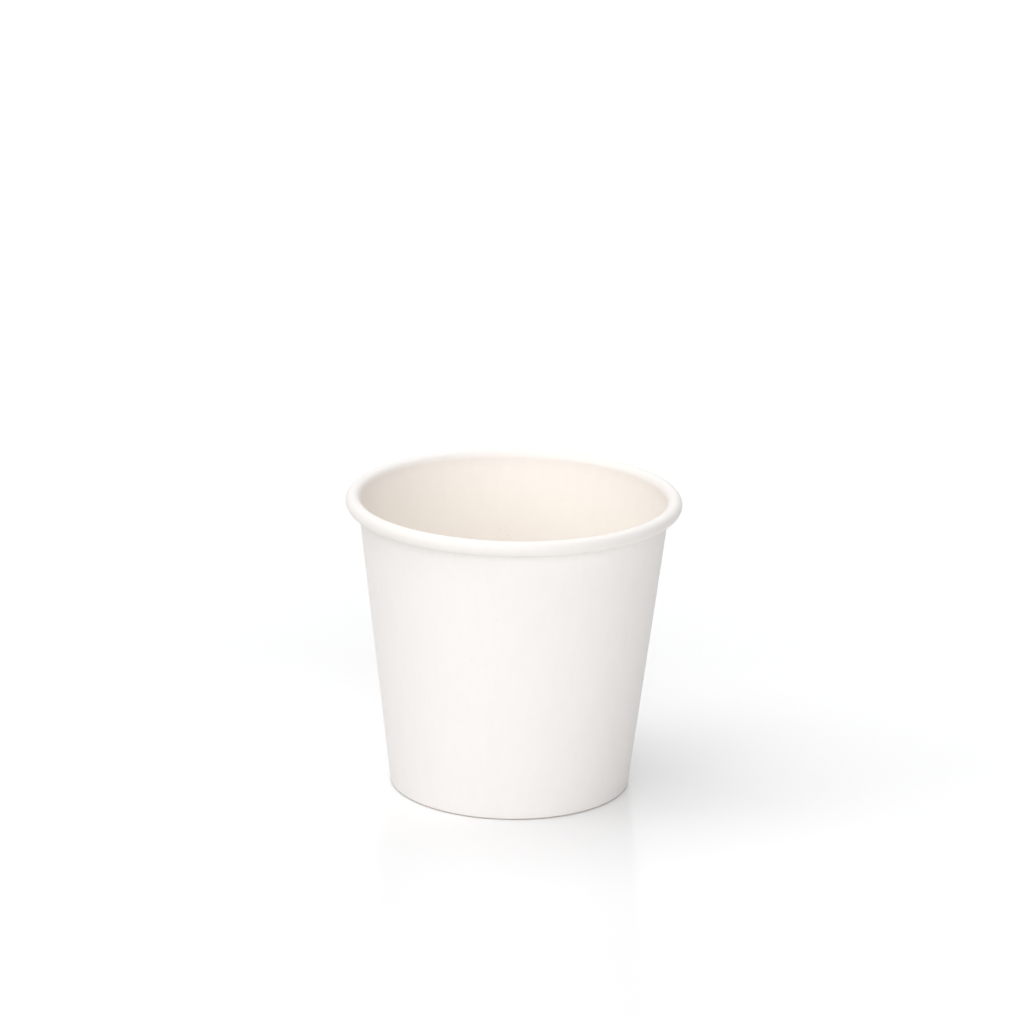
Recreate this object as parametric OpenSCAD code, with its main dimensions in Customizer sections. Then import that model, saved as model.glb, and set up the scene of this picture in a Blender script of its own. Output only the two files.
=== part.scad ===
// Small hot-drink cup made of coated paper board, in millimetres.
// It stands on z = 0 with its axis on Z. It is made of two blanks, as such a cup is:
// a fan-shaped blank wrapped and lapped into the tapered wall, and a round blank for the base.
// Both are drawn as bent sheet: a middle line of straight runs and bends, with one board thickness.

/* [Cup] */
// Diameter over the rolled rim
rim_d = 62; // [56:0.5:72]
// Diameter at which the outside of the wall would meet the table
foot_d = 44.5; // [38:0.1:52]
// Height from the table to the top of the rolled rim
cup_h = 55.6; // [40:0.1:95]
// Thickness of the coated board
board_t = 0.3; // [0.22:0.01:0.38]

/* [Rolled rim] */
// Outside diameter of the roll, seen in section
roll_d = 2.76; // [2.4:0.02:3.4]
// Outside radius of the tighter bend that tucks the cut edge up inside the roll
tuck_r = 0.55; // [0.48:0.01:0.65]
// Angle of that tighter bend
tuck_turn = 120; // [90:5:150]
// Straight tip between that bend and the cut edge
tip_len = 0.25; // [0.1:0.05:0.35]
// Room left between the roll and the doubled board of the side seam
throat_clear = 0.15; // [0.1:0.01:0.25]
// Distance below the roll at which the slanted wall turns upright
neck_drop = 0.45; // [0.35:0.05:2]
// Radius of the bend that turns it upright
neck_r = 5; // [2:0.5:8]

/* [Base] */
// Height of the recess under the base disc
recess_h = 6.2; // [4:0.1:10]
// Radius inside the bend that turns the disc down into its skirt
shoulder_r = 0.4; // [0.2:0.05:0.8]
// Gap between the top of the hem and the underside of the disc
hem_clear = 1.3; // [0.9:0.1:2.5]
// Radius inside the two folds at the foot
fold_r = 0.05; // [0.03:0.01:0.1]
// Gap between the skirt's lower edge and the fold under it
skirt_clear = 0.1; // [0.05:0.01:0.4]
// Sealing film on each side of the skirt
seal_t = 0.02; // [0.01:0.005:0.04]

/* [Side seam] */
// Width of the lap
lap_w = 6; // [4:0.5:9]
// Width over which the outer ply climbs onto the inner one
ramp_w = 1; // [0.6:0.1:2]
// How far the outer ply is carried round inside the roll
lap_roll_turn = 170; // [90:5:180]
// Direction of the seam seen from above, counted from +X
seam_angle = 170; // [0:5:355]

/* [Hidden] */
$fn = 180;
board_white = "#f7f5f0";
coated_cream = "#f3ede2";

// Degrees of turn to each facet of a bend, and the same in the tight folds
arc_step = 8;
fold_step = 20;
// Bends with a middle radius below this one take the coarser step
fold_limit = 0.3;
// Cutting shapes reach this far past what they cut
reach = 5;
// How far the ramp of the outer ply stands over the lap's own face
ramp_lift = 0.04;
// Height above the floor at which the open edge of the inner ply begins to show
inner_edge_up = 1;

half_t = board_t / 2;
foot_r = foot_d / 2;
rim_r = rim_d / 2;
roll_r = roll_d / 2;
floor_z = recess_h + board_t;
hem_h = recess_h - hem_clear;

// The upright neck's outside face, and the slant of the wall up to it
neck_x = rim_r - roll_d + board_t;
neck_z = cup_h - roll_d - neck_drop;
slant = atan2(neck_x - foot_r, neck_z);
along = [sin(slant), cos(slant)];
inward = [-cos(slant), sin(slant)];

// A point of the slanted line that runs parallel to the wall, at a depth inside its outer face
function slanted(depth, z) =
    [foot_r, 0] + depth * inward + along * (z - depth * inward[1]) / along[1];

// Length from a sharp corner back to where a bend of this turn begins
function setback(turn, r) = r * tan(turn / 2);

// Middle line of a bent sheet as [point, heading] pairs. Each step is [run, turn, bend radius],
// and a positive turn is to the left
function walk(steps, at, heading, i = 0) =
    i == len(steps) ? [[at, heading]] :
    let (
        run = steps[i][0],
        turn = steps[i][1],
        r = steps[i][2] * sign(turn),
        corner = at + run * [cos(heading), sin(heading)],
        centre = corner + r * [-sin(heading), cos(heading)],
        count = max(1, ceil(abs(turn) / (abs(r) < fold_limit ? fold_step : arc_step))),
        on_arc = function (k) let (a = heading + turn * k / count) centre + r * [sin(a), -cos(a)]
    )
    concat(
        run > 0 ? [[at, heading]] : [],
        turn == 0 ? [] : [for (k = [0:count - 1]) [on_arc(k), heading + turn * k / count]],
        walk(steps, turn == 0 ? corner : on_arc(count), heading + turn, i + 1)
    );

function last(list) = list[len(list) - 1];

// The same middle line walked from its other end
function reversed(path) = [for (i = [len(path) - 1:-1:0]) [path[i][0], path[i][1] + 180]];

// Outline between two offsets to the left of a middle line
function beside(point, d) = point[0] + d * [-sin(point[1]), cos(point[1])];
function sheet(path, left, right) = concat(
    [for (p = path) beside(p, left)],
    [for (i = [len(path) - 1:-1:0]) beside(path[i], right)]
);

// Foot: a flat land, with a fold up into the wall and a fold up into the hem
fold_mid = fold_r + half_t;
hem_pitch = 2 * (board_t + seal_t);
land = (hem_pitch - 2 * fold_mid) / cos(slant);
foot_corner = slanted(half_t, half_t);
land_end = foot_corner - [setback(90 - slant, fold_mid), 0];
land_mid = land_end - [land / 2, 0];
wall_fold = walk([[land / 2, 90 - slant, fold_mid]], land_mid, 0);
wall_start = last(wall_fold);

hem_fold = walk([[land / 2, -90 - slant, fold_mid]], land_mid, 180);
hem_start = last(hem_fold);
hem_run = (hem_h - hem_start[0][1]) / along[1];
hem_path = concat(hem_fold, [[hem_start[0] + hem_run * along, hem_start[1]]]);

// Wall and roll: straight run, upright neck, the roll outwards, then the tucked edge
neck_corner = [neck_x - half_t, slanted(half_t, neck_z)[1]];
neck_end = neck_corner[1] + setback(slant, neck_r);
wall_run = norm(neck_corner - wall_start[0]) - setback(slant, neck_r);
upright = cup_h - roll_r - neck_end;
throat = board_t + throat_clear;
roll_turn = 270 + asin((roll_r - board_t - throat - tuck_r) / (roll_r - tuck_r));
wall_rise = [wall_run, slant, neck_r];
wall_path = concat(
    reversed(hem_path),
    [for (i = [1:len(wall_fold) - 2]) wall_fold[i]],
    walk(
        [
            wall_rise,
            [upright, -roll_turn, roll_r - half_t],
            [0, -tuck_turn, tuck_r - half_t],
            [tip_len, 0, 0]
        ],
        wall_start[0],
        wall_start[1]
    )
);
lap_path = walk([wall_rise, [upright, -lap_roll_turn, roll_r - half_t]], wall_start[0], wall_start[1]);

// Base disc: flat, then turned down into a skirt that lies along the wall
skirt_depth = board_t + seal_t + half_t;
disc_corner = slanted(skirt_depth, floor_z - half_t);
shoulder_mid = shoulder_r + half_t;
shoulder_back = setback(90 + slant, shoulder_mid);
skirt_end = slanted(skirt_depth, board_t + skirt_clear + half_t * along[0]);
skirt_run = norm(disc_corner - skirt_end) - shoulder_back;
disc_path = walk(
    [[disc_corner[0] - shoulder_back, -90 - slant, shoulder_mid], [skirt_run, 0, 0]],
    [0, floor_z - half_t],
    0
);

// A frame that lies on the wall's outer face along the seam: X across, Y outwards, Z up the wall
module on_seam() {
    rotate([0, 0, seam_angle - 90])
        translate([0, foot_r, 0])
            rotate([-slant, 0, 0])
                children();
}

// Outer ply of the lap, fused half a board deep into the wall that it is sealed to
module outer_ply() {
    climb = board_t / ramp_w;
    start = ramp_w + reach * board_t;
    intersection() {
        rotate_extrude()
            polygon(sheet(lap_path, 0, -half_t - board_t));
        on_seam()
            translate([0, 0, -reach])
                linear_extrude(cup_h + 2 * reach)
                    polygon([
                        [-start, board_t + ramp_lift - start * climb],
                        [0, board_t + ramp_lift],
                        [0, reach],
                        [lap_w, reach],
                        [lap_w, -reach],
                        [-start, -reach]
                    ]);
    }
}

// Wedge of air inside the cup, where the outer ply leaves the cut edge of the inner one
module inner_edge() {
    climb = board_t / ramp_w;
    start = ramp_w + reach * board_t;
    low = (floor_z + inner_edge_up) / along[1];
    high = neck_z / along[1];
    on_seam()
        translate([0, 0, low])
            linear_extrude(high - low)
                polygon([[0, 0], [-start, -start * climb], [-start, -reach], [0, -reach]]);
}

// Wrapped wall with its rolled rim, lapped side seam and folded hem
module side_wall() {
    color(board_white)
        difference() {
            union() {
                rotate_extrude()
                    polygon(sheet(wall_path, half_t, -half_t));
                outer_ply();
            }
            inner_edge();
        }
}

// Base disc with its skirt turned down between the wall and the hem
module bottom_disc() {
    color(coated_cream)
        rotate_extrude()
            polygon(sheet(disc_path, half_t, -half_t));
}

side_wall();
bottom_disc();
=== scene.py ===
"""The looks of a small hot-drink cup of coated paper board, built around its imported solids.

The cup is two bent sheets of board, and each is made as one: the middle line of the sheet is
drawn in the XZ plane by extruding and spinning its free end, the line is spun round the cup's
axis, and the surface gets the board's thickness. The side seam, the knurled hem and the pleats
of the base are pressed into the sheets afterwards.
"""

import math

import bpy
from mathutils import Matrix, Vector


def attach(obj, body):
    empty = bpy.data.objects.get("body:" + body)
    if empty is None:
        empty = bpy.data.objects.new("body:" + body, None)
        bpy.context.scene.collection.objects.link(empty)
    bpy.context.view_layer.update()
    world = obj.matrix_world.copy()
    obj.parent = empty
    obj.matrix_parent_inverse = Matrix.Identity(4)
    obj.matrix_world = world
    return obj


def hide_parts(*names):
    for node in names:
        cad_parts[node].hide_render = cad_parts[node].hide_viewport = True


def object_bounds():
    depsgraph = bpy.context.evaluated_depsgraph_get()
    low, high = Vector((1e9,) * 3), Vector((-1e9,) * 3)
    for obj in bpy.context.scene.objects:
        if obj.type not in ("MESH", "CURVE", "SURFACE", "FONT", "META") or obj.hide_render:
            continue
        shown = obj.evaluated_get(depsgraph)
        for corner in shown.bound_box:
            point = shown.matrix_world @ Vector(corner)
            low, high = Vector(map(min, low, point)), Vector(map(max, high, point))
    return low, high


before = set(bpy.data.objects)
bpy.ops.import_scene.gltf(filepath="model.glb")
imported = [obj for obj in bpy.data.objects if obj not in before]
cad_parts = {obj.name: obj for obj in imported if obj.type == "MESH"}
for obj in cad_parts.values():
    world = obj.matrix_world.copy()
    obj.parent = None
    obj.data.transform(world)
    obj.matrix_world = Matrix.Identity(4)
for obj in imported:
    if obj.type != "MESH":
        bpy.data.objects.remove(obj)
CAD_LOW, CAD_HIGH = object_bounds()

bl_info = {
    "name": "Paper Cup",
    "version": (1, 0, 0),
    "blender": (4, 5, 0),
    "location": "3D View > Sidebar > Paper Cup",
    "description": "Builds a small coated paper cup with a rolled rim, a side seam and a folded foot",
    "category": "Add Mesh",
}

MM = 0.001
BODY = "root"

# Points closer than this are one point, and a cut edge of board is drawn this wide
MERGE = 0.001 * MM
EDGE_W = 0.02 * MM

# The order of a piece's materials: what its normals face, the other side, and the cut edge
FACE_SIDE, BACK_SIDE, CUT_SIDE = range(3)

# Columns of faces round the cup, and the turn to each facet of a bend and of a tight fold
COLUMNS = 360
BEND_STEP = math.radians(8)
FOLD_STEP = math.radians(20)

# Faces that meet at less than this are shaded as one smooth surface
SHARP_ANGLE = math.radians(34)

# Rows of faces along each straight run of board
WALL_ROWS = 14
HEM_ROWS = 8
FLOOR_ROWS = 8
SKIRT_ROWS = 3

# Columns that a groove or a pucker takes up, together with the plain board beside it
KNURL_COLUMNS = 4
PLEAT_COLUMNS = 6

# Faces are cut along the seam only from this many ramps before it to this many laps past its start
SEAM_REACH = 2

# Scales of the paper's patterns, in cells to the metre
CLOUD_SCALE = 700
FIBRE_SCALE = 2600
SWELL_SCALE = 110
SPECK_SCALE = 380
SPECK_PATCH_SCALE = 150

# The level of the cloud noise at which the board is darkest, and how fast it clears from there
CLOUD_START = 0.35
CLOUD_GAIN = 1.6

# A speck's radius goes this many times into its cell, and specks come only where a second
# noise is over this level
SPECK_FINENESS = 11
SPECK_LEVEL = 0.56

# The axes along which a band's distance is counted, from the table up or from the cup's axis out
FROM_TABLE = (0, 0, 1)
FROM_AXIS = (1, 1, 0)

# Heights above the table between which clean board turns into painted shade along the fold at the
# foot, a darker colour standing in for the contact shadow there
PAINTED_FOOT_SHADE_BAND = (0.36 * MM, 0.10 * MM)

# The coating turns into the darker rim colour, painted shade over the rolled rim and the inside just
# under it, between these depths below the rim's top, and between these depths inside its outer edge
PAINTED_RIM_SHADE_DOWN = (2.8 * MM, 0.6 * MM)
PAINTED_RIM_SHADE_IN = (3.0 * MM, 2.4 * MM)

# Side of the square table in metres, and how rough its sheen is
TABLE_SIZE = 6
TABLE_ROUGHNESS = 0.12


def length_prop(name, description, default):
    """A size in metres, shown in the scene's own units."""
    return bpy.props.FloatProperty(
        name=name, description=description, default=default, min=0, precision=5, unit="LENGTH"
    )


def angle_prop(name, description, degrees):
    """An angle, written here in degrees."""
    return bpy.props.FloatProperty(
        name=name, description=description, default=math.radians(degrees), unit="ROTATION"
    )


def colour_prop(name, description, default):
    """A colour in linear light."""
    return bpy.props.FloatVectorProperty(
        name=name, description=description, default=default, min=0, max=1, size=3, subtype="COLOR"
    )


class CupSizes(bpy.types.PropertyGroup):
    """Real sizes of the cup, as a maker would list them, and the sizes that follow from them."""

    rim_d: length_prop("Rim diameter", "Over the rolled rim", 2 * min(CAD_HIGH.xy))
    foot_d: length_prop("Foot diameter", "Where the wall's outside would meet the table", 44.5 * MM)
    cup_h: length_prop("Height", "From the table to the top of the rim", CAD_HIGH.z)
    board_t: length_prop("Board", "Thickness of the coated board", 0.3 * MM)
    roll_d: length_prop("Roll", "Outside diameter of the rolled rim in section", 2.76 * MM)
    tuck_r: length_prop("Tuck radius", "Outside radius of the tucked end of the roll", 0.55 * MM)
    tuck_turn: angle_prop("Tuck turn", "Angle of the tucked end of the roll", 120)
    tip_len: length_prop("Tip", "Straight tip behind the cut edge", 0.25 * MM)
    throat_clear: length_prop("Throat", "Room under the roll beside the seam", 0.15 * MM)
    neck_drop: length_prop("Neck drop", "From the roll down to the wall's bend", 0.45 * MM)
    neck_r: length_prop("Neck radius", "Radius of the bend under the roll", 5 * MM)
    recess_h: length_prop("Recess", "Height of the recess under the base", 6.2 * MM)
    shoulder_r: length_prop("Shoulder", "Radius inside the bend of the base disc", 0.4 * MM)
    hem_clear: length_prop("Hem gap", "From the hem's top to the base disc", 1.3 * MM)
    fold_r: length_prop("Fold radius", "Radius inside the folds at the foot", 0.05 * MM)
    skirt_clear: length_prop("Skirt gap", "From the skirt's edge to the fold", 0.1 * MM)
    seal_t: length_prop("Seal", "Sealing film on each side of the skirt", 0.02 * MM)
    lap_w: length_prop("Lap", "Width of the side seam", 6 * MM)
    ramp_w: length_prop("Ramp", "Width over which the outer ply climbs", 1 * MM)
    edge_up: length_prop("Inner edge", "From the floor to the inner ply's open edge", 1 * MM)
    lap_roll_turn: angle_prop("Lap in roll", "How far round the roll the lap goes", 170)
    seam_angle: angle_prop("Seam direction", "Seen from above, counted from +X", 170)
    knurl_depth: length_prop("Knurl", "Depth of the hem's pressed grooves", 0.1 * MM)
    knurl_margin: length_prop("Knurl margin", "Plain band beside the grooves", 0.7 * MM)
    pleat_depth: length_prop("Pleats", "Depth of the puckers of the drawn base", 0.05 * MM)

    @property
    def half_t(self):
        return self.board_t / 2

    @property
    def foot_r(self):
        return self.foot_d / 2

    @property
    def roll_r(self):
        return self.roll_d / 2

    @property
    def roll_centre(self):
        return Vector((self.rim_d / 2 - self.roll_r, 0, self.cup_h - self.roll_r))

    @property
    def neck(self):
        """Outside face of the upright neck, at the height where the slanted wall meets it."""
        across = self.rim_d / 2 - self.roll_d + self.board_t
        return Vector((across, 0, self.cup_h - self.roll_d - self.neck_drop))

    @property
    def slant(self):
        return math.atan2(self.neck.x - self.foot_r, self.neck.z)

    @property
    def along(self):
        return Vector((math.sin(self.slant), 0, math.cos(self.slant)))

    @property
    def inward(self):
        return Vector((-math.cos(self.slant), 0, math.sin(self.slant)))

    @property
    def fold_mid(self):
        return self.fold_r + self.half_t

    @property
    def fold_z(self):
        """Height of the middles that the two folds at the foot turn about."""
        return self.half_t + self.fold_mid

    @property
    def floor_z(self):
        return self.recess_h + self.board_t

    def slanted(self, depth, height):
        """A point that lies this deep inside the wall's outer face, at this height."""
        start = Vector((self.foot_r, 0, 0)) + self.inward * depth
        return start + self.along * (height - start.z) / self.along.z

    def seam_frame(self):
        """A frame on the wall's outer face: X across the seam, Y outwards, Z up the wall."""
        turn = Matrix.Rotation(self.seam_angle - math.pi / 2, 4, "Z")
        lean = Matrix.Rotation(-self.slant, 4, "X")
        return turn @ Matrix.Translation((0, self.foot_r, 0)) @ lean


class CupColours(bpy.types.PropertyGroup):
    """Colours of the board and of the table, and of the painted shade at the rim and along the foot.
    """

    board: colour_prop("Outer board", "Bleached board outside", (0.966, 0.931, 0.905))
    coating: colour_prop("Inner coating", "Coated board inside", (0.992, 0.946, 0.897))
    # Painted shade: the rim colour darkens the rolled rim and the inside just under it, damping the
    # light that falls there
    rim: colour_prop("Rim", "Coating stretched over the rolled rim", (0.868, 0.842, 0.815))
    # Painted shade: this colour darkens the fold at the foot, standing in for the contact shadow
    # along the table
    crease: colour_prop("Crease", "Crushed board of the fold at the foot", (0.60, 0.55, 0.50))
    cut_edge: colour_prop("Cut edge", "Fibres of a cut edge", (0.80, 0.75, 0.67))
    speck: colour_prop("Specks", "Bark specks in the pulp", (0.55, 0.50, 0.42))
    floor: colour_prop("Floor", "The white table as the camera sees it", (0.942, 0.945, 0.952))
    floor_glow: colour_prop("Floor glow", "The light that the table throws back", (0.71, 0.71, 0.71))


def lamp_prop(name, description, energy):
    """Strength of a lamp, in watts on each square metre that faces it."""
    return bpy.props.FloatProperty(name=name, description=description, default=energy, min=0)


class StudioSet(bpy.types.PropertyGroup):
    """The camera and the light."""

    lens: bpy.props.FloatProperty(
        name="Lens", description="Focal length of the camera", default=159.58, unit="CAMERA"
    )
    distance: length_prop("Distance", "From the lens to the plane of the foot", 851.48 * MM)
    raised: length_prop("Raised", "Middle of the picture above the foot", 49.83 * MM)
    aside: length_prop("Aside", "Middle of the picture to the right of the foot", 0.515 * MM)
    elevation: angle_prop("Elevation", "Camera above the horizon", 16.95)
    roll: angle_prop("Roll", "Camera turned about its view", 0.973)
    key: lamp_prop("Key", "Small lamp on the left, which throws the long shadow", 0.346)
    side: lamp_prop("Side", "Large lamp high on the left", 0.883)
    top: lamp_prop("Top", "Large lamp overhead", 0.719)
    right_front: lamp_prop("Right front", "Low lamp to the right of the camera", 1.137)
    left_front: lamp_prop("Left front", "Low lamp to the left of the camera", 1.087)
    left_back: lamp_prop("Left back", "Lamp behind the cup, to the left", 0.358)
    right_back: lamp_prop("Right back", "Lamp behind the cup, to the right", 0.792)
    right: lamp_prop("Right", "Small lamp on the right, which lights the cup's inside", 0.107)


class Wire:
    """A node's output in a shader, so that its maths reads as plain Python."""

    def __init__(self, nodes, socket):
        self.nodes = nodes
        self.socket = socket

    def maths(self, operation, first, second):
        return self.nodes.add("ShaderNodeMath", {"operation": operation}, {0: first, 1: second})

    def __add__(self, other):
        return self.maths("ADD", self, other)

    def __radd__(self, other):
        return self.maths("ADD", other, self)

    def __sub__(self, other):
        return self.maths("SUBTRACT", self, other)

    def __rsub__(self, other):
        return self.maths("SUBTRACT", other, self)

    def __mul__(self, other):
        return self.maths("MULTIPLY", self, other)

    def __rmul__(self, other):
        return self.maths("MULTIPLY", other, self)

    def __gt__(self, other):
        return self.maths("GREATER_THAN", self, other)

    def at_most(self, limit):
        return self.maths("MINIMUM", self, limit)

    def at_least(self, limit):
        return self.maths("MAXIMUM", self, limit)


class ShaderNodes:
    """The node tree of a material or of the world, to which nodes are added one by one."""

    def __init__(self, owner):
        owner.use_nodes = True
        self.owner = owner
        self.tree = owner.node_tree

    def add(self, kind, settings=None, sockets=None, output=0):
        """Adds a node, makes its settings, then feeds its sockets with values or wires."""
        node = self.tree.nodes.new(kind)
        for name, value in (settings or {}).items():
            setattr(node, name, value)
        self.feed(node, sockets or {})
        return Wire(self, node.outputs[output])

    def feed(self, node, sockets):
        for key, value in sockets.items():
            if isinstance(value, Wire):
                self.tree.links.new(value.socket, node.inputs[key])
            else:
                node.inputs[key].default_value = value

    def blend(self, share, first, second):
        """Mixes two colours by a share. A Mix node has its colour sockets after its other ones."""
        share_socket, first_socket, second_socket, colour_output = 0, 6, 7, 2
        return self.add(
            "ShaderNodeMix",
            {"data_type": "RGBA", "clamp_factor": True},
            {share_socket: share, first_socket: first, second_socket: second},
            colour_output,
        )

    def noise(self, place, **sockets):
        """A noise over a place. Its other sockets are named as Blender names them."""
        return self.add("ShaderNodeTexNoise", sockets={"Vector": place, **sockets})

    def tint(self, colour, factor):
        """Scales a colour."""
        return self.add("ShaderNodeVectorMath", {"operation": "SCALE"}, {0: colour, "Scale": factor})

    def seen_directly(self):
        """1 where the camera sees the surface itself, in a reflection or through glass."""
        outputs = self.add("ShaderNodeLightPath").socket.node.outputs
        seen = Wire(self, outputs["Is Camera Ray"])
        seen = seen.at_least(Wire(self, outputs["Is Glossy Ray"]))
        return seen.at_least(Wire(self, outputs["Is Transmission Ray"]))


def opaque(colour):
    """A colour property with the alpha that a colour socket wants."""
    return (*colour, 1)


def band_share(nodes, place, bands):
    """How far the board has turned into its band colour, from 0 to 1.

    A band gives the axes that its distance is counted along, and the distances at which it
    starts and is complete. The board turns only where all of its bands do.
    """
    share = 1 if bands else 0
    for axes, (start, end) in bands:
        along = nodes.add("ShaderNodeVectorMath", {"operation": "MULTIPLY"}, {0: place, 1: axes})
        distance = nodes.add("ShaderNodeVectorMath", {"operation": "LENGTH"}, {0: along}, "Value")
        share = share * ((distance - start) * (1 / (end - start))).at_least(0).at_most(1)
    return share


def speck_mask(nodes, place):
    """1 in the middle of a speck and 0 from its edge on. Only some patches of board have them."""
    spots = nodes.add(
        "ShaderNodeTexVoronoi",
        {"feature": "F1"},
        {"Vector": place, "Scale": SPECK_SCALE},
        "Distance",
    )
    patches = nodes.noise(place, Scale=SPECK_PATCH_SCALE, Detail=0)
    return (1 - spots * SPECK_FINENESS).at_least(0) * (patches > SPECK_LEVEL)


def paper_finish(name, colours, settings):
    """A material of pulp board: its colour, bands, clouding, fibres, specks and sheen."""
    nodes = ShaderNodes(bpy.data.materials.new(name))
    shader = nodes.tree.nodes["Principled BSDF"]
    place = nodes.add("ShaderNodeTexCoord", output="Object")
    stretched = nodes.add(
        "ShaderNodeMapping", sockets={"Vector": place, "Scale": settings["fibre_stretch"]}
    )
    cloud = nodes.noise(stretched, Scale=CLOUD_SCALE, Detail=5, Roughness=0.65)
    fibres = nodes.noise(stretched, Scale=FIBRE_SCALE, Detail=3, Distortion=0.6)
    swell = nodes.noise(place, Scale=SWELL_SCALE, Detail=1)
    speck = speck_mask(nodes, place)

    share = band_share(nodes, place, settings["bands"])
    base = nodes.blend(share, opaque(settings["colour"]), opaque(settings["band_colour"]))
    darker = nodes.tint(base, settings["mottle"])
    shade = nodes.blend((cloud - CLOUD_START) * CLOUD_GAIN, darker, base)
    skin = nodes.blend(speck * settings["speck_strength"], shade, opaque(colours.speck))

    relief = fibres * settings["fibre_height"] + swell * settings["swell_height"]
    relief = relief + speck * settings["speck_height"]
    bump = nodes.add(
        "ShaderNodeBump", sockets={"Height": relief, "Distance": 1.0, "Strength": 1.0}
    )
    nodes.feed(
        shader,
        {
            "Base Color": skin,
            "Roughness": settings["roughness"] + fibres * settings["roughness_change"],
            "Normal": bump,
            "Specular IOR Level": settings["specular"],
        },
    )
    return nodes.owner


def raw_board_finish(colours):
    return paper_finish(
        "raw_board",
        colours,
        {
            "colour": colours.board,
            # This band is painted shade, the contact shadow along the fold at the foot
            "bands": [(FROM_TABLE, PAINTED_FOOT_SHADE_BAND)],
            "band_colour": colours.crease,
            "fibre_stretch": (1, 1, 0.25),
            "mottle": 0.966,
            "speck_strength": 0.3,
            "speck_height": 0.015 * MM,
            "fibre_height": 0.006 * MM,
            "swell_height": 0.03 * MM,
            "roughness": 0.58,
            "roughness_change": 0.08,
            "specular": 0.35,
        },
    )


def coated_board_finish(colours):
    top, outer = CAD_HIGH.z, min(CAD_HIGH.xy)
    return paper_finish(
        "coated_board",
        colours,
        {
            "colour": colours.coating,
            # These bands are painted shade, a darker coating over the rolled rim and the inside just
            # under it
            "bands": [
                (FROM_TABLE, [top - depth for depth in PAINTED_RIM_SHADE_DOWN]),
                (FROM_AXIS, [outer - depth for depth in PAINTED_RIM_SHADE_IN]),
            ],
            "band_colour": colours.rim,
            "fibre_stretch": (1, 1, 0.4),
            "mottle": 0.971,
            "speck_strength": 0.35,
            "speck_height": 0.01 * MM,
            "fibre_height": 0.003 * MM,
            "swell_height": 0.03 * MM,
            "roughness": 0.42,
            "roughness_change": 0.06,
            "specular": 0.4,
        },
    )


def cut_edge_finish(colours):
    return paper_finish(
        "cut_edge",
        colours,
        {
            "colour": colours.cut_edge,
            "bands": [],
            "band_colour": colours.cut_edge,
            "fibre_stretch": (1, 1, 3),
            "mottle": 0.9,
            "speck_strength": 0.3,
            "speck_height": 0,
            "fibre_height": 0.02 * MM,
            "swell_height": 0,
            "roughness": 0.85,
            "roughness_change": 0.1,
            "specular": 0.2,
        },
    )


def give_materials(piece, makers, colours):
    """Fills the piece's material slots. A finish that is already made is used again."""
    for maker in makers:
        name = maker.__name__.removesuffix("_finish")
        piece.data.materials.append(bpy.data.materials.get(name) or maker(colours))


class Pen:
    """The free end of a line of board that is drawn in edit mode, in the XZ plane."""

    def __init__(self, name, at, heading):
        bpy.ops.object.select_all(action="DESELECT")
        bpy.ops.mesh.primitive_plane_add(size=MM, location=at)
        bpy.ops.object.transform_apply(location=True, rotation=False, scale=False)
        self.piece = bpy.context.object
        self.piece.name = self.piece.data.name = name
        self.at = at
        self.heading = heading
        bpy.ops.object.mode_set(mode="EDIT")
        bpy.ops.mesh.select_mode(type="VERT")
        bpy.ops.mesh.select_all(action="SELECT")
        bpy.ops.mesh.merge(type="CENTER")

    def left(self):
        return Vector((-math.sin(self.heading), 0, math.cos(self.heading)))

    def run(self, length, rows=1):
        """Goes straight on, in equal rows."""
        ahead = Vector((math.cos(self.heading), 0, math.sin(self.heading)))
        for _ in range(rows):
            bpy.ops.mesh.extrude_vertices_move(
                TRANSFORM_OT_translate={"value": ahead * length / rows}
            )
        self.at = self.at + ahead * length

    def bend(self, turn, radius, step):
        """Goes round a bend in steps of about this angle. A positive turn is to the left."""
        side = math.copysign(1, turn)
        centre = self.at + self.left() * side * radius
        bpy.ops.mesh.spin(
            steps=math.ceil(abs(turn) / step), angle=abs(turn), center=centre, axis=(0, side, 0)
        )
        self.heading += turn
        self.at = centre - self.left() * side * radius


def revolve():
    """Spins the drawn line round the cup's axis and leaves edit mode."""
    bpy.ops.mesh.select_all(action="SELECT")
    bpy.ops.mesh.spin(
        steps=COLUMNS, angle=math.tau, center=(0, 0, 0), axis=(0, 0, 1), use_auto_merge=True
    )
    bpy.ops.mesh.select_all(action="SELECT")
    bpy.ops.mesh.remove_doubles(threshold=MERGE)
    bpy.ops.mesh.normals_make_consistent(inside=False)
    bpy.ops.object.mode_set(mode="OBJECT")


def face_towards(piece, point, direction):
    """Flips the whole surface if its face nearest to a point looks away from a direction."""
    nearest = min(piece.data.polygons, key=lambda face: (face.center - point).length_squared)
    if nearest.normal.dot(direction) < 0:
        bpy.ops.object.mode_set(mode="EDIT")
        bpy.ops.mesh.select_all(action="SELECT")
        bpy.ops.mesh.flip_normals()
        bpy.ops.object.mode_set(mode="OBJECT")


def thicken(piece, thickness):
    """Gives the surface the board's thickness, half on each side, and its other materials."""
    board = piece.modifiers.new("Board", "SOLIDIFY")
    board.thickness = thickness
    board.offset = 0
    board.use_even_offset = True
    board.material_offset = BACK_SIDE
    board.material_offset_rim = CUT_SIDE
    bpy.ops.object.modifier_apply(modifier=board.name)


def select_faces(piece, wanted):
    """Selects the faces for which wanted(face) holds, and enters edit mode."""
    bpy.ops.object.mode_set(mode="EDIT")
    bpy.ops.mesh.select_mode(type="FACE")
    bpy.ops.mesh.select_all(action="DESELECT")
    bpy.ops.object.mode_set(mode="OBJECT")
    for face in piece.data.polygons:
        face.select = wanted(face)
    bpy.ops.object.mode_set(mode="EDIT")


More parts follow.
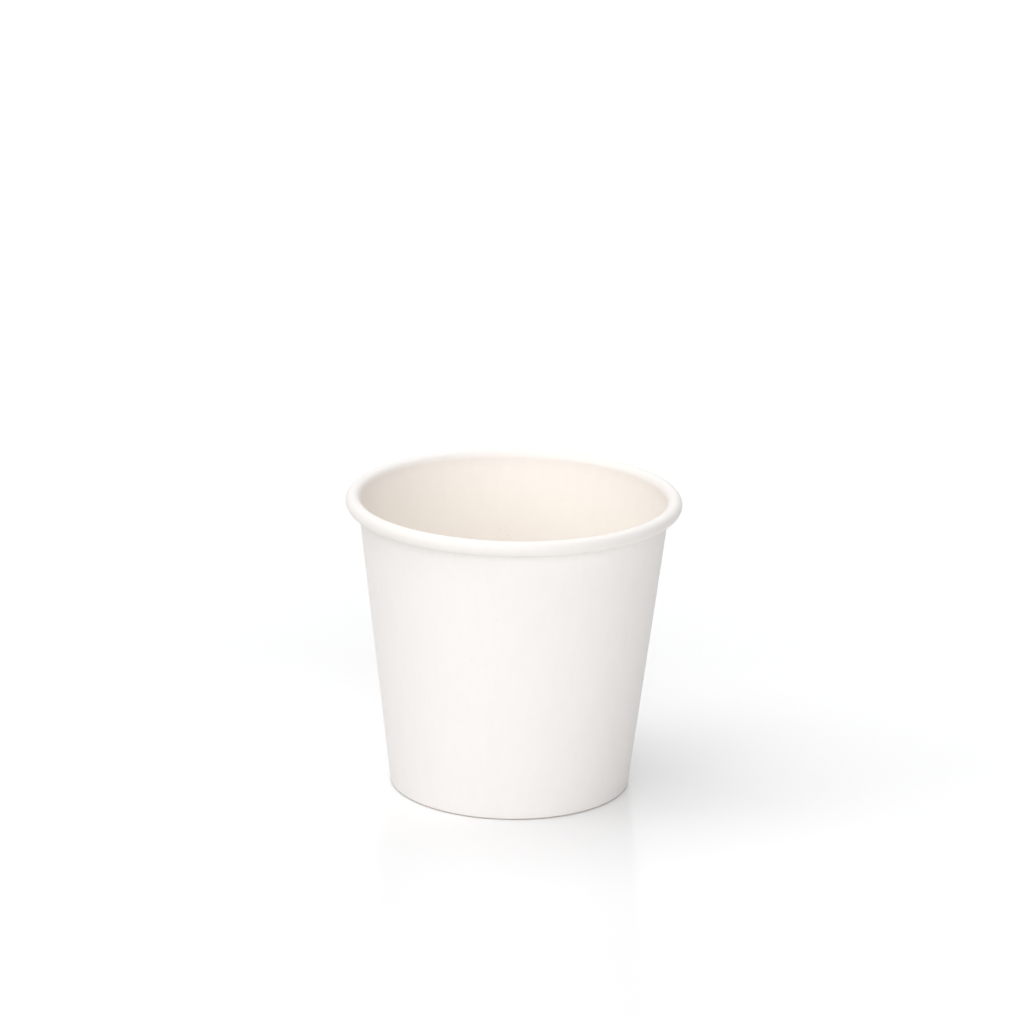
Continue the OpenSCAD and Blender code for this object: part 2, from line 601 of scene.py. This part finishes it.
def score(piece, wanted, plane, offsets):
    """Cuts the wanted faces along planes that stand across a frame's X axis."""
    for offset in offsets:
        select_faces(piece, wanted)
        bpy.ops.mesh.bisect(plane_co=plane @ Vector((offset, 0, 0)), plane_no=plane.col[0].xyz)
        bpy.ops.object.mode_set(mode="OBJECT")


def press(piece, name, side, depth, share_at):
    """Moves one side's vertices along their normals, each by its share of a depth."""
    faces = [face for face in piece.data.polygons if face.material_index == side]
    group = piece.vertex_groups.new(name=name)
    for index in {corner for face in faces for corner in face.vertices}:
        share = share_at(piece.data.vertices[index].co)
        if share > 0:
            group.add([index], share, "REPLACE")
    push = piece.modifiers.new(name, "DISPLACE")
    push.vertex_group = name
    push.mid_level = 0
    push.strength = depth
    bpy.ops.object.modifier_apply(modifier=push.name)
    piece.vertex_groups.clear()


def finish_piece(piece, nodes):
    """Smooths the faces, and hands the piece to the frame."""
    bpy.ops.object.select_all(action="DESELECT")
    piece.select_set(True)
    bpy.context.view_layer.objects.active = piece
    bpy.ops.object.shade_smooth_by_angle(angle=SHARP_ANGLE)
    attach(piece, BODY)
    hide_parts(*nodes)


def clamp(value):
    return min(max(value, 0.0), 1.0)


def groove_share(point, per_groove):
    """Share of a groove's depth at a point, for grooves that each take some columns."""
    column = round(COLUMNS * math.atan2(point.y, point.x) / math.tau)
    return 1.0 if column % per_groove < per_groove / 2 else 0.0


class CUP_OT_side_wall(bpy.types.Operator):
    """Build the wrapped wall with its rolled rim, side seam and folded hem"""

    bl_idname = "paper_cup.side_wall"
    bl_label = "Side Wall"
    bl_options = {"REGISTER", "UNDO"}

    def execute(self, context):
        sizes = context.scene.cup_sizes
        piece = self.draw(sizes)
        give_materials(
            piece,
            (raw_board_finish, coated_board_finish, cut_edge_finish),
            context.scene.cup_colours,
        )
        thicken(piece, sizes.board_t)
        self.lap(piece, sizes)
        self.knurl(piece, sizes)
        finish_piece(piece, ["side_wall"])
        return {"FINISHED"}

    def draw(self, sizes):
        """Middle surface of the wall, from the hem's cut edge round the foot up into the roll."""
        quarter = math.pi / 2
        land = (2 * (sizes.board_t + sizes.seal_t) - 2 * sizes.fold_mid) / math.cos(sizes.slant)
        setback = sizes.fold_mid * math.tan((quarter - sizes.slant) / 2)
        land_out = sizes.slanted(sizes.half_t, sizes.half_t).x - setback
        to_hem = sizes.inward * sizes.fold_mid
        hem_foot = Vector((land_out - land, 0, sizes.fold_z)) + to_hem
        wall_start = Vector((land_out, 0, sizes.fold_z)) - to_hem
        hem_top = sizes.recess_h - sizes.hem_clear
        hem_run = (hem_top - hem_foot.z) / sizes.along.z

        neck_corner = Vector((sizes.neck.x - sizes.half_t, 0, sizes.neck.z))
        neck_setback = sizes.neck_r * math.tan(sizes.slant / 2)
        wall_run = (neck_corner - wall_start).length - neck_setback
        upright = sizes.roll_centre.z - neck_corner.z - neck_setback
        throat = sizes.board_t + sizes.throat_clear
        hook = sizes.roll_r - sizes.board_t - throat - sizes.tuck_r
        roll_turn = 3 * quarter + math.asin(hook / (sizes.roll_r - sizes.tuck_r))

        pen = Pen("side_wall_board", hem_foot + sizes.along * hem_run, 3 * quarter - sizes.slant)
        pen.run(hem_run, HEM_ROWS)
        pen.bend(quarter + sizes.slant, sizes.fold_mid, FOLD_STEP)
        pen.run(land)
        pen.bend(quarter - sizes.slant, sizes.fold_mid, FOLD_STEP)
        # The lap's lower cut edge takes this narrow row
        pen.run(EDGE_W)
        pen.run(wall_run - EDGE_W, WALL_ROWS)
        pen.bend(sizes.slant, sizes.neck_r, BEND_STEP)
        pen.run(upright)
        pen.bend(-roll_turn, sizes.roll_r - sizes.half_t, BEND_STEP)
        pen.bend(-sizes.tuck_turn, sizes.tuck_r - sizes.half_t, FOLD_STEP)
        pen.run(sizes.tip_len)
        revolve()
        face_towards(pen.piece, neck_corner, Vector((1, 0, 0)))
        return pen.piece

    def lap(self, piece, sizes):
        """Lifts the outer ply over the inner one, and opens the inner ply's edge inside."""
        plane = sizes.seam_frame()
        to_seam = plane.inverted()
        centre = sizes.roll_centre
        fold_top = sizes.fold_z * (1 - math.sin(sizes.slant)) + EDGE_W / 2

        def in_lap(point):
            """Whether a point lies between the lap's lower end and its upper one in the roll."""
            across = math.hypot(point.x, point.y) - centre.x
            turn = math.atan2(point.z - centre.z, -across) if point.z > centre.z else 0
            return point.z > fold_top and across < sizes.roll_r and turn < sizes.lap_roll_turn

        def near(face):
            """Whether a face is by the seam, and not on the far side of the cup."""
            seam = to_seam @ face.center
            low, high = -SEAM_REACH * sizes.ramp_w, SEAM_REACH * sizes.lap_w
            return low < seam.x < high and seam.y > -sizes.roll_d

        def outer_share(point):
            seam = to_seam @ point
            if seam.x > sizes.lap_w + EDGE_W / 2 or seam.y < -sizes.roll_d or not in_lap(point):
                return 0
            return clamp(1 + seam.x / sizes.ramp_w)

        def inner_share(point):
            seam = to_seam @ point
            low, high = sizes.floor_z + sizes.edge_up, sizes.neck.z
            if seam.x > -EDGE_W / 2 or seam.y < -sizes.roll_d or not low < point.z < high:
                return 0
            return clamp(1 + seam.x / sizes.ramp_w)

        def outside(face):
            return face.material_index == FACE_SIDE and near(face)

        def inside(face):
            return face.material_index == BACK_SIDE and near(face)

        score(piece, outside, plane, (-sizes.ramp_w, 0, sizes.lap_w, sizes.lap_w + EDGE_W))
        score(piece, inside, plane, (-sizes.ramp_w, -EDGE_W, 0))
        press(piece, "Outer ply", FACE_SIDE, sizes.board_t, outer_share)
        press(piece, "Inner edge", BACK_SIDE, -sizes.board_t, inner_share)

        def cut_face(face):
            seam = to_seam @ face.center
            if face.material_index == FACE_SIDE:
                return outside(face) and sizes.lap_w < seam.x < sizes.lap_w + EDGE_W
            return inside(face) and -EDGE_W < seam.x < 0

        for face in piece.data.polygons:
            if cut_face(face) and in_lap(face.center):
                face.material_index = CUT_SIDE

    def knurl(self, piece, sizes):
        """Presses fine upright grooves into the hem where it was squeezed against the skirt."""
        low = sizes.knurl_margin
        high = sizes.recess_h - sizes.hem_clear - sizes.knurl_margin

        def share(point):
            behind_wall = sizes.slanted(sizes.board_t + sizes.half_t, point.z).x
            on_hem = low < point.z < high and math.hypot(point.x, point.y) < behind_wall
            return groove_share(point, KNURL_COLUMNS) if on_hem else 0

        press(piece, "Knurl", FACE_SIDE, -sizes.knurl_depth, share)


class CUP_OT_base_disc(bpy.types.Operator):
    """Build the base disc with its skirt turned down between the wall and the hem"""

    bl_idname = "paper_cup.base_disc"
    bl_label = "Base Disc"
    bl_options = {"REGISTER", "UNDO"}

    def execute(self, context):
        sizes = context.scene.cup_sizes
        piece = self.draw(sizes)
        give_materials(
            piece,
            (coated_board_finish, raw_board_finish, cut_edge_finish),
            context.scene.cup_colours,
        )
        thicken(piece, sizes.board_t)
        self.pucker(piece, sizes)
        finish_piece(piece, ["bottom_disc"])
        return {"FINISHED"}

    def draw(self, sizes):
        """Middle surface of the disc, from the cup's axis to the lower edge of the skirt."""
        turn = math.pi / 2 + sizes.slant
        depth = sizes.board_t + sizes.seal_t + sizes.half_t
        middle_z = sizes.floor_z - sizes.half_t
        corner = sizes.slanted(depth, middle_z)
        shoulder_mid = sizes.shoulder_r + sizes.half_t
        setback = shoulder_mid * math.tan(turn / 2)
        lower_z = sizes.board_t + sizes.skirt_clear + sizes.half_t * sizes.along.x
        skirt_run = (corner - sizes.slanted(depth, lower_z)).length - setback

        pen = Pen("bottom_disc_board", Vector((0, 0, middle_z)), 0)
        pen.run(corner.x - setback, FLOOR_ROWS)
        pen.bend(-turn, shoulder_mid, BEND_STEP)
        pen.run(skirt_run, SKIRT_ROWS)
        revolve()
        face_towards(pen.piece, Vector((0, 0, middle_z)), Vector((0, 0, 1)))
        return pen.piece

    def pucker(self, piece, sizes):
        """Presses the puckers that drawing leaves into both faces of the disc's bend."""
        bend_r = sizes.shoulder_r + sizes.board_t
        flat_r = sizes.slanted(sizes.board_t + sizes.seal_t, sizes.floor_z).x - bend_r

        def share(point):
            """All of the depth halfway across the bend, and none from one bend below it."""
            across = (math.hypot(point.x, point.y) - flat_r) / bend_r
            drop = (sizes.floor_z - point.z) / bend_r
            round_the_bend = clamp(1 - abs(2 * across - 1)) * clamp(2 - drop)
            return round_the_bend * groove_share(point, PLEAT_COLUMNS)

        press(piece, "Puckers", FACE_SIDE, -sizes.pleat_depth, share)
        press(piece, "Puckers below", BACK_SIDE, sizes.pleat_depth, share)


class CUP_OT_studio(bpy.types.Operator):
    """Set the white table, the soft light and the camera"""

    bl_idname = "paper_cup.studio"
    bl_label = "Studio"
    bl_options = {"REGISTER", "UNDO"}

    def execute(self, context):
        studio = context.scene.cup_studio
        self.floor(context.scene.cup_colours)
        self.world(context)
        self.lamps(studio)
        self.camera(context, studio)
        context.scene.view_settings.view_transform = "Standard"
        return {"FINISHED"}

    def floor(self, colours):
        """A white table with a sheen, which throws back less light than it shows."""
        bpy.ops.object.select_all(action="DESELECT")
        bpy.ops.mesh.primitive_plane_add(size=TABLE_SIZE, location=(0, 0, 0))
        floor = bpy.context.object
        floor.name = "floor"
        nodes = ShaderNodes(bpy.data.materials.new("floor"))
        seen = nodes.seen_directly()
        shown = nodes.blend(seen, opaque(colours.floor_glow), opaque(colours.floor))
        shader = nodes.tree.nodes["Principled BSDF"]
        nodes.feed(shader, {"Base Color": shown, "Roughness": TABLE_ROUGHNESS})
        floor.data.materials.append(nodes.owner)

    def world(self, context):
        """A white room, which is seen and mirrored but lights nothing."""
        world = bpy.data.worlds.new("Studio")
        context.scene.world = world
        nodes = ShaderNodes(world)
        background = nodes.tree.nodes["Background"]
        nodes.feed(background, {"Color": (1, 1, 1, 1), "Strength": nodes.seen_directly()})

    def lamps(self, studio):
        """Each lamp has its elevation, its azimuth counted from +X, and its width, in degrees."""
        places = {
            "key": (35, 190, 30),
            "side": (62, 180, 60),
            "top": (80, 200, 60),
            "right_front": (20, 290, 60),
            "left_front": (20, 250, 60),
            "left_back": (50, 120, 60),
            "right_back": (50, 60, 60),
            "right": (30, 350, 40),
        }
        for name, (elevation, azimuth, width) in places.items():
            bpy.ops.object.select_all(action="DESELECT")
            bpy.ops.object.light_add(type="SUN")
            lamp = bpy.context.object
            lamp.name = name
            lamp.data.energy = getattr(studio, name)
            lamp.data.angle = math.radians(width)
            up, round_z = math.radians(elevation), math.radians(azimuth)
            across = math.cos(up)
            towards = Vector((across * math.cos(round_z), across * math.sin(round_z), math.sin(up)))
            lamp.rotation_euler = towards.to_track_quat("Z", "Y").to_euler()

    def camera(self, context, studio):
        """Leans and rolls a camera at the foot's middle, then moves it back along its view."""
        bpy.ops.object.select_all(action="DESELECT")
        bpy.ops.object.camera_add()
        camera = bpy.context.object
        camera.name = "camera"
        camera.data.lens = studio.lens
        lean = Matrix.Rotation(math.pi / 2 - studio.elevation, 4, "X")
        roll = Matrix.Rotation(studio.roll, 4, "Z")
        place = Matrix.Translation((studio.aside, studio.raised, studio.distance))
        camera.matrix_world = lean @ roll @ place
        context.scene.camera = camera


class CUP_PT_panel(bpy.types.Panel):
    """Sizes, colours and light of the cup, and the steps that build it"""

    bl_idname = "CUP_PT_panel"
    bl_label = "Paper Cup"
    bl_space_type = "VIEW_3D"
    bl_region_type = "UI"
    bl_category = "Paper Cup"

    def draw(self, context):
        scene = context.scene
        for group in (scene.cup_sizes, scene.cup_colours, scene.cup_studio):
            column = self.layout.column(align=True)
            for name in group.__annotations__:
                column.prop(group, name)
        for operator in OPERATORS:
            self.layout.operator(operator.bl_idname)


GROUPS = {"cup_sizes": CupSizes, "cup_colours": CupColours, "cup_studio": StudioSet}
OPERATORS = (CUP_OT_side_wall, CUP_OT_base_disc, CUP_OT_studio)
CLASSES = (*GROUPS.values(), *OPERATORS, CUP_PT_panel)


def register():
    for item in CLASSES:
        bpy.utils.register_class(item)
    for name, group in GROUPS.items():
        setattr(bpy.types.Scene, name, bpy.props.PointerProperty(type=group))


def unregister():
    for name in GROUPS:
        delattr(bpy.types.Scene, name)
    for item in reversed(CLASSES):
        bpy.utils.unregister_class(item)


def main():
    register()
    bpy.ops.paper_cup.side_wall()
    bpy.ops.paper_cup.base_disc()
    bpy.ops.paper_cup.studio()


if __name__ == "__main__":
    main()
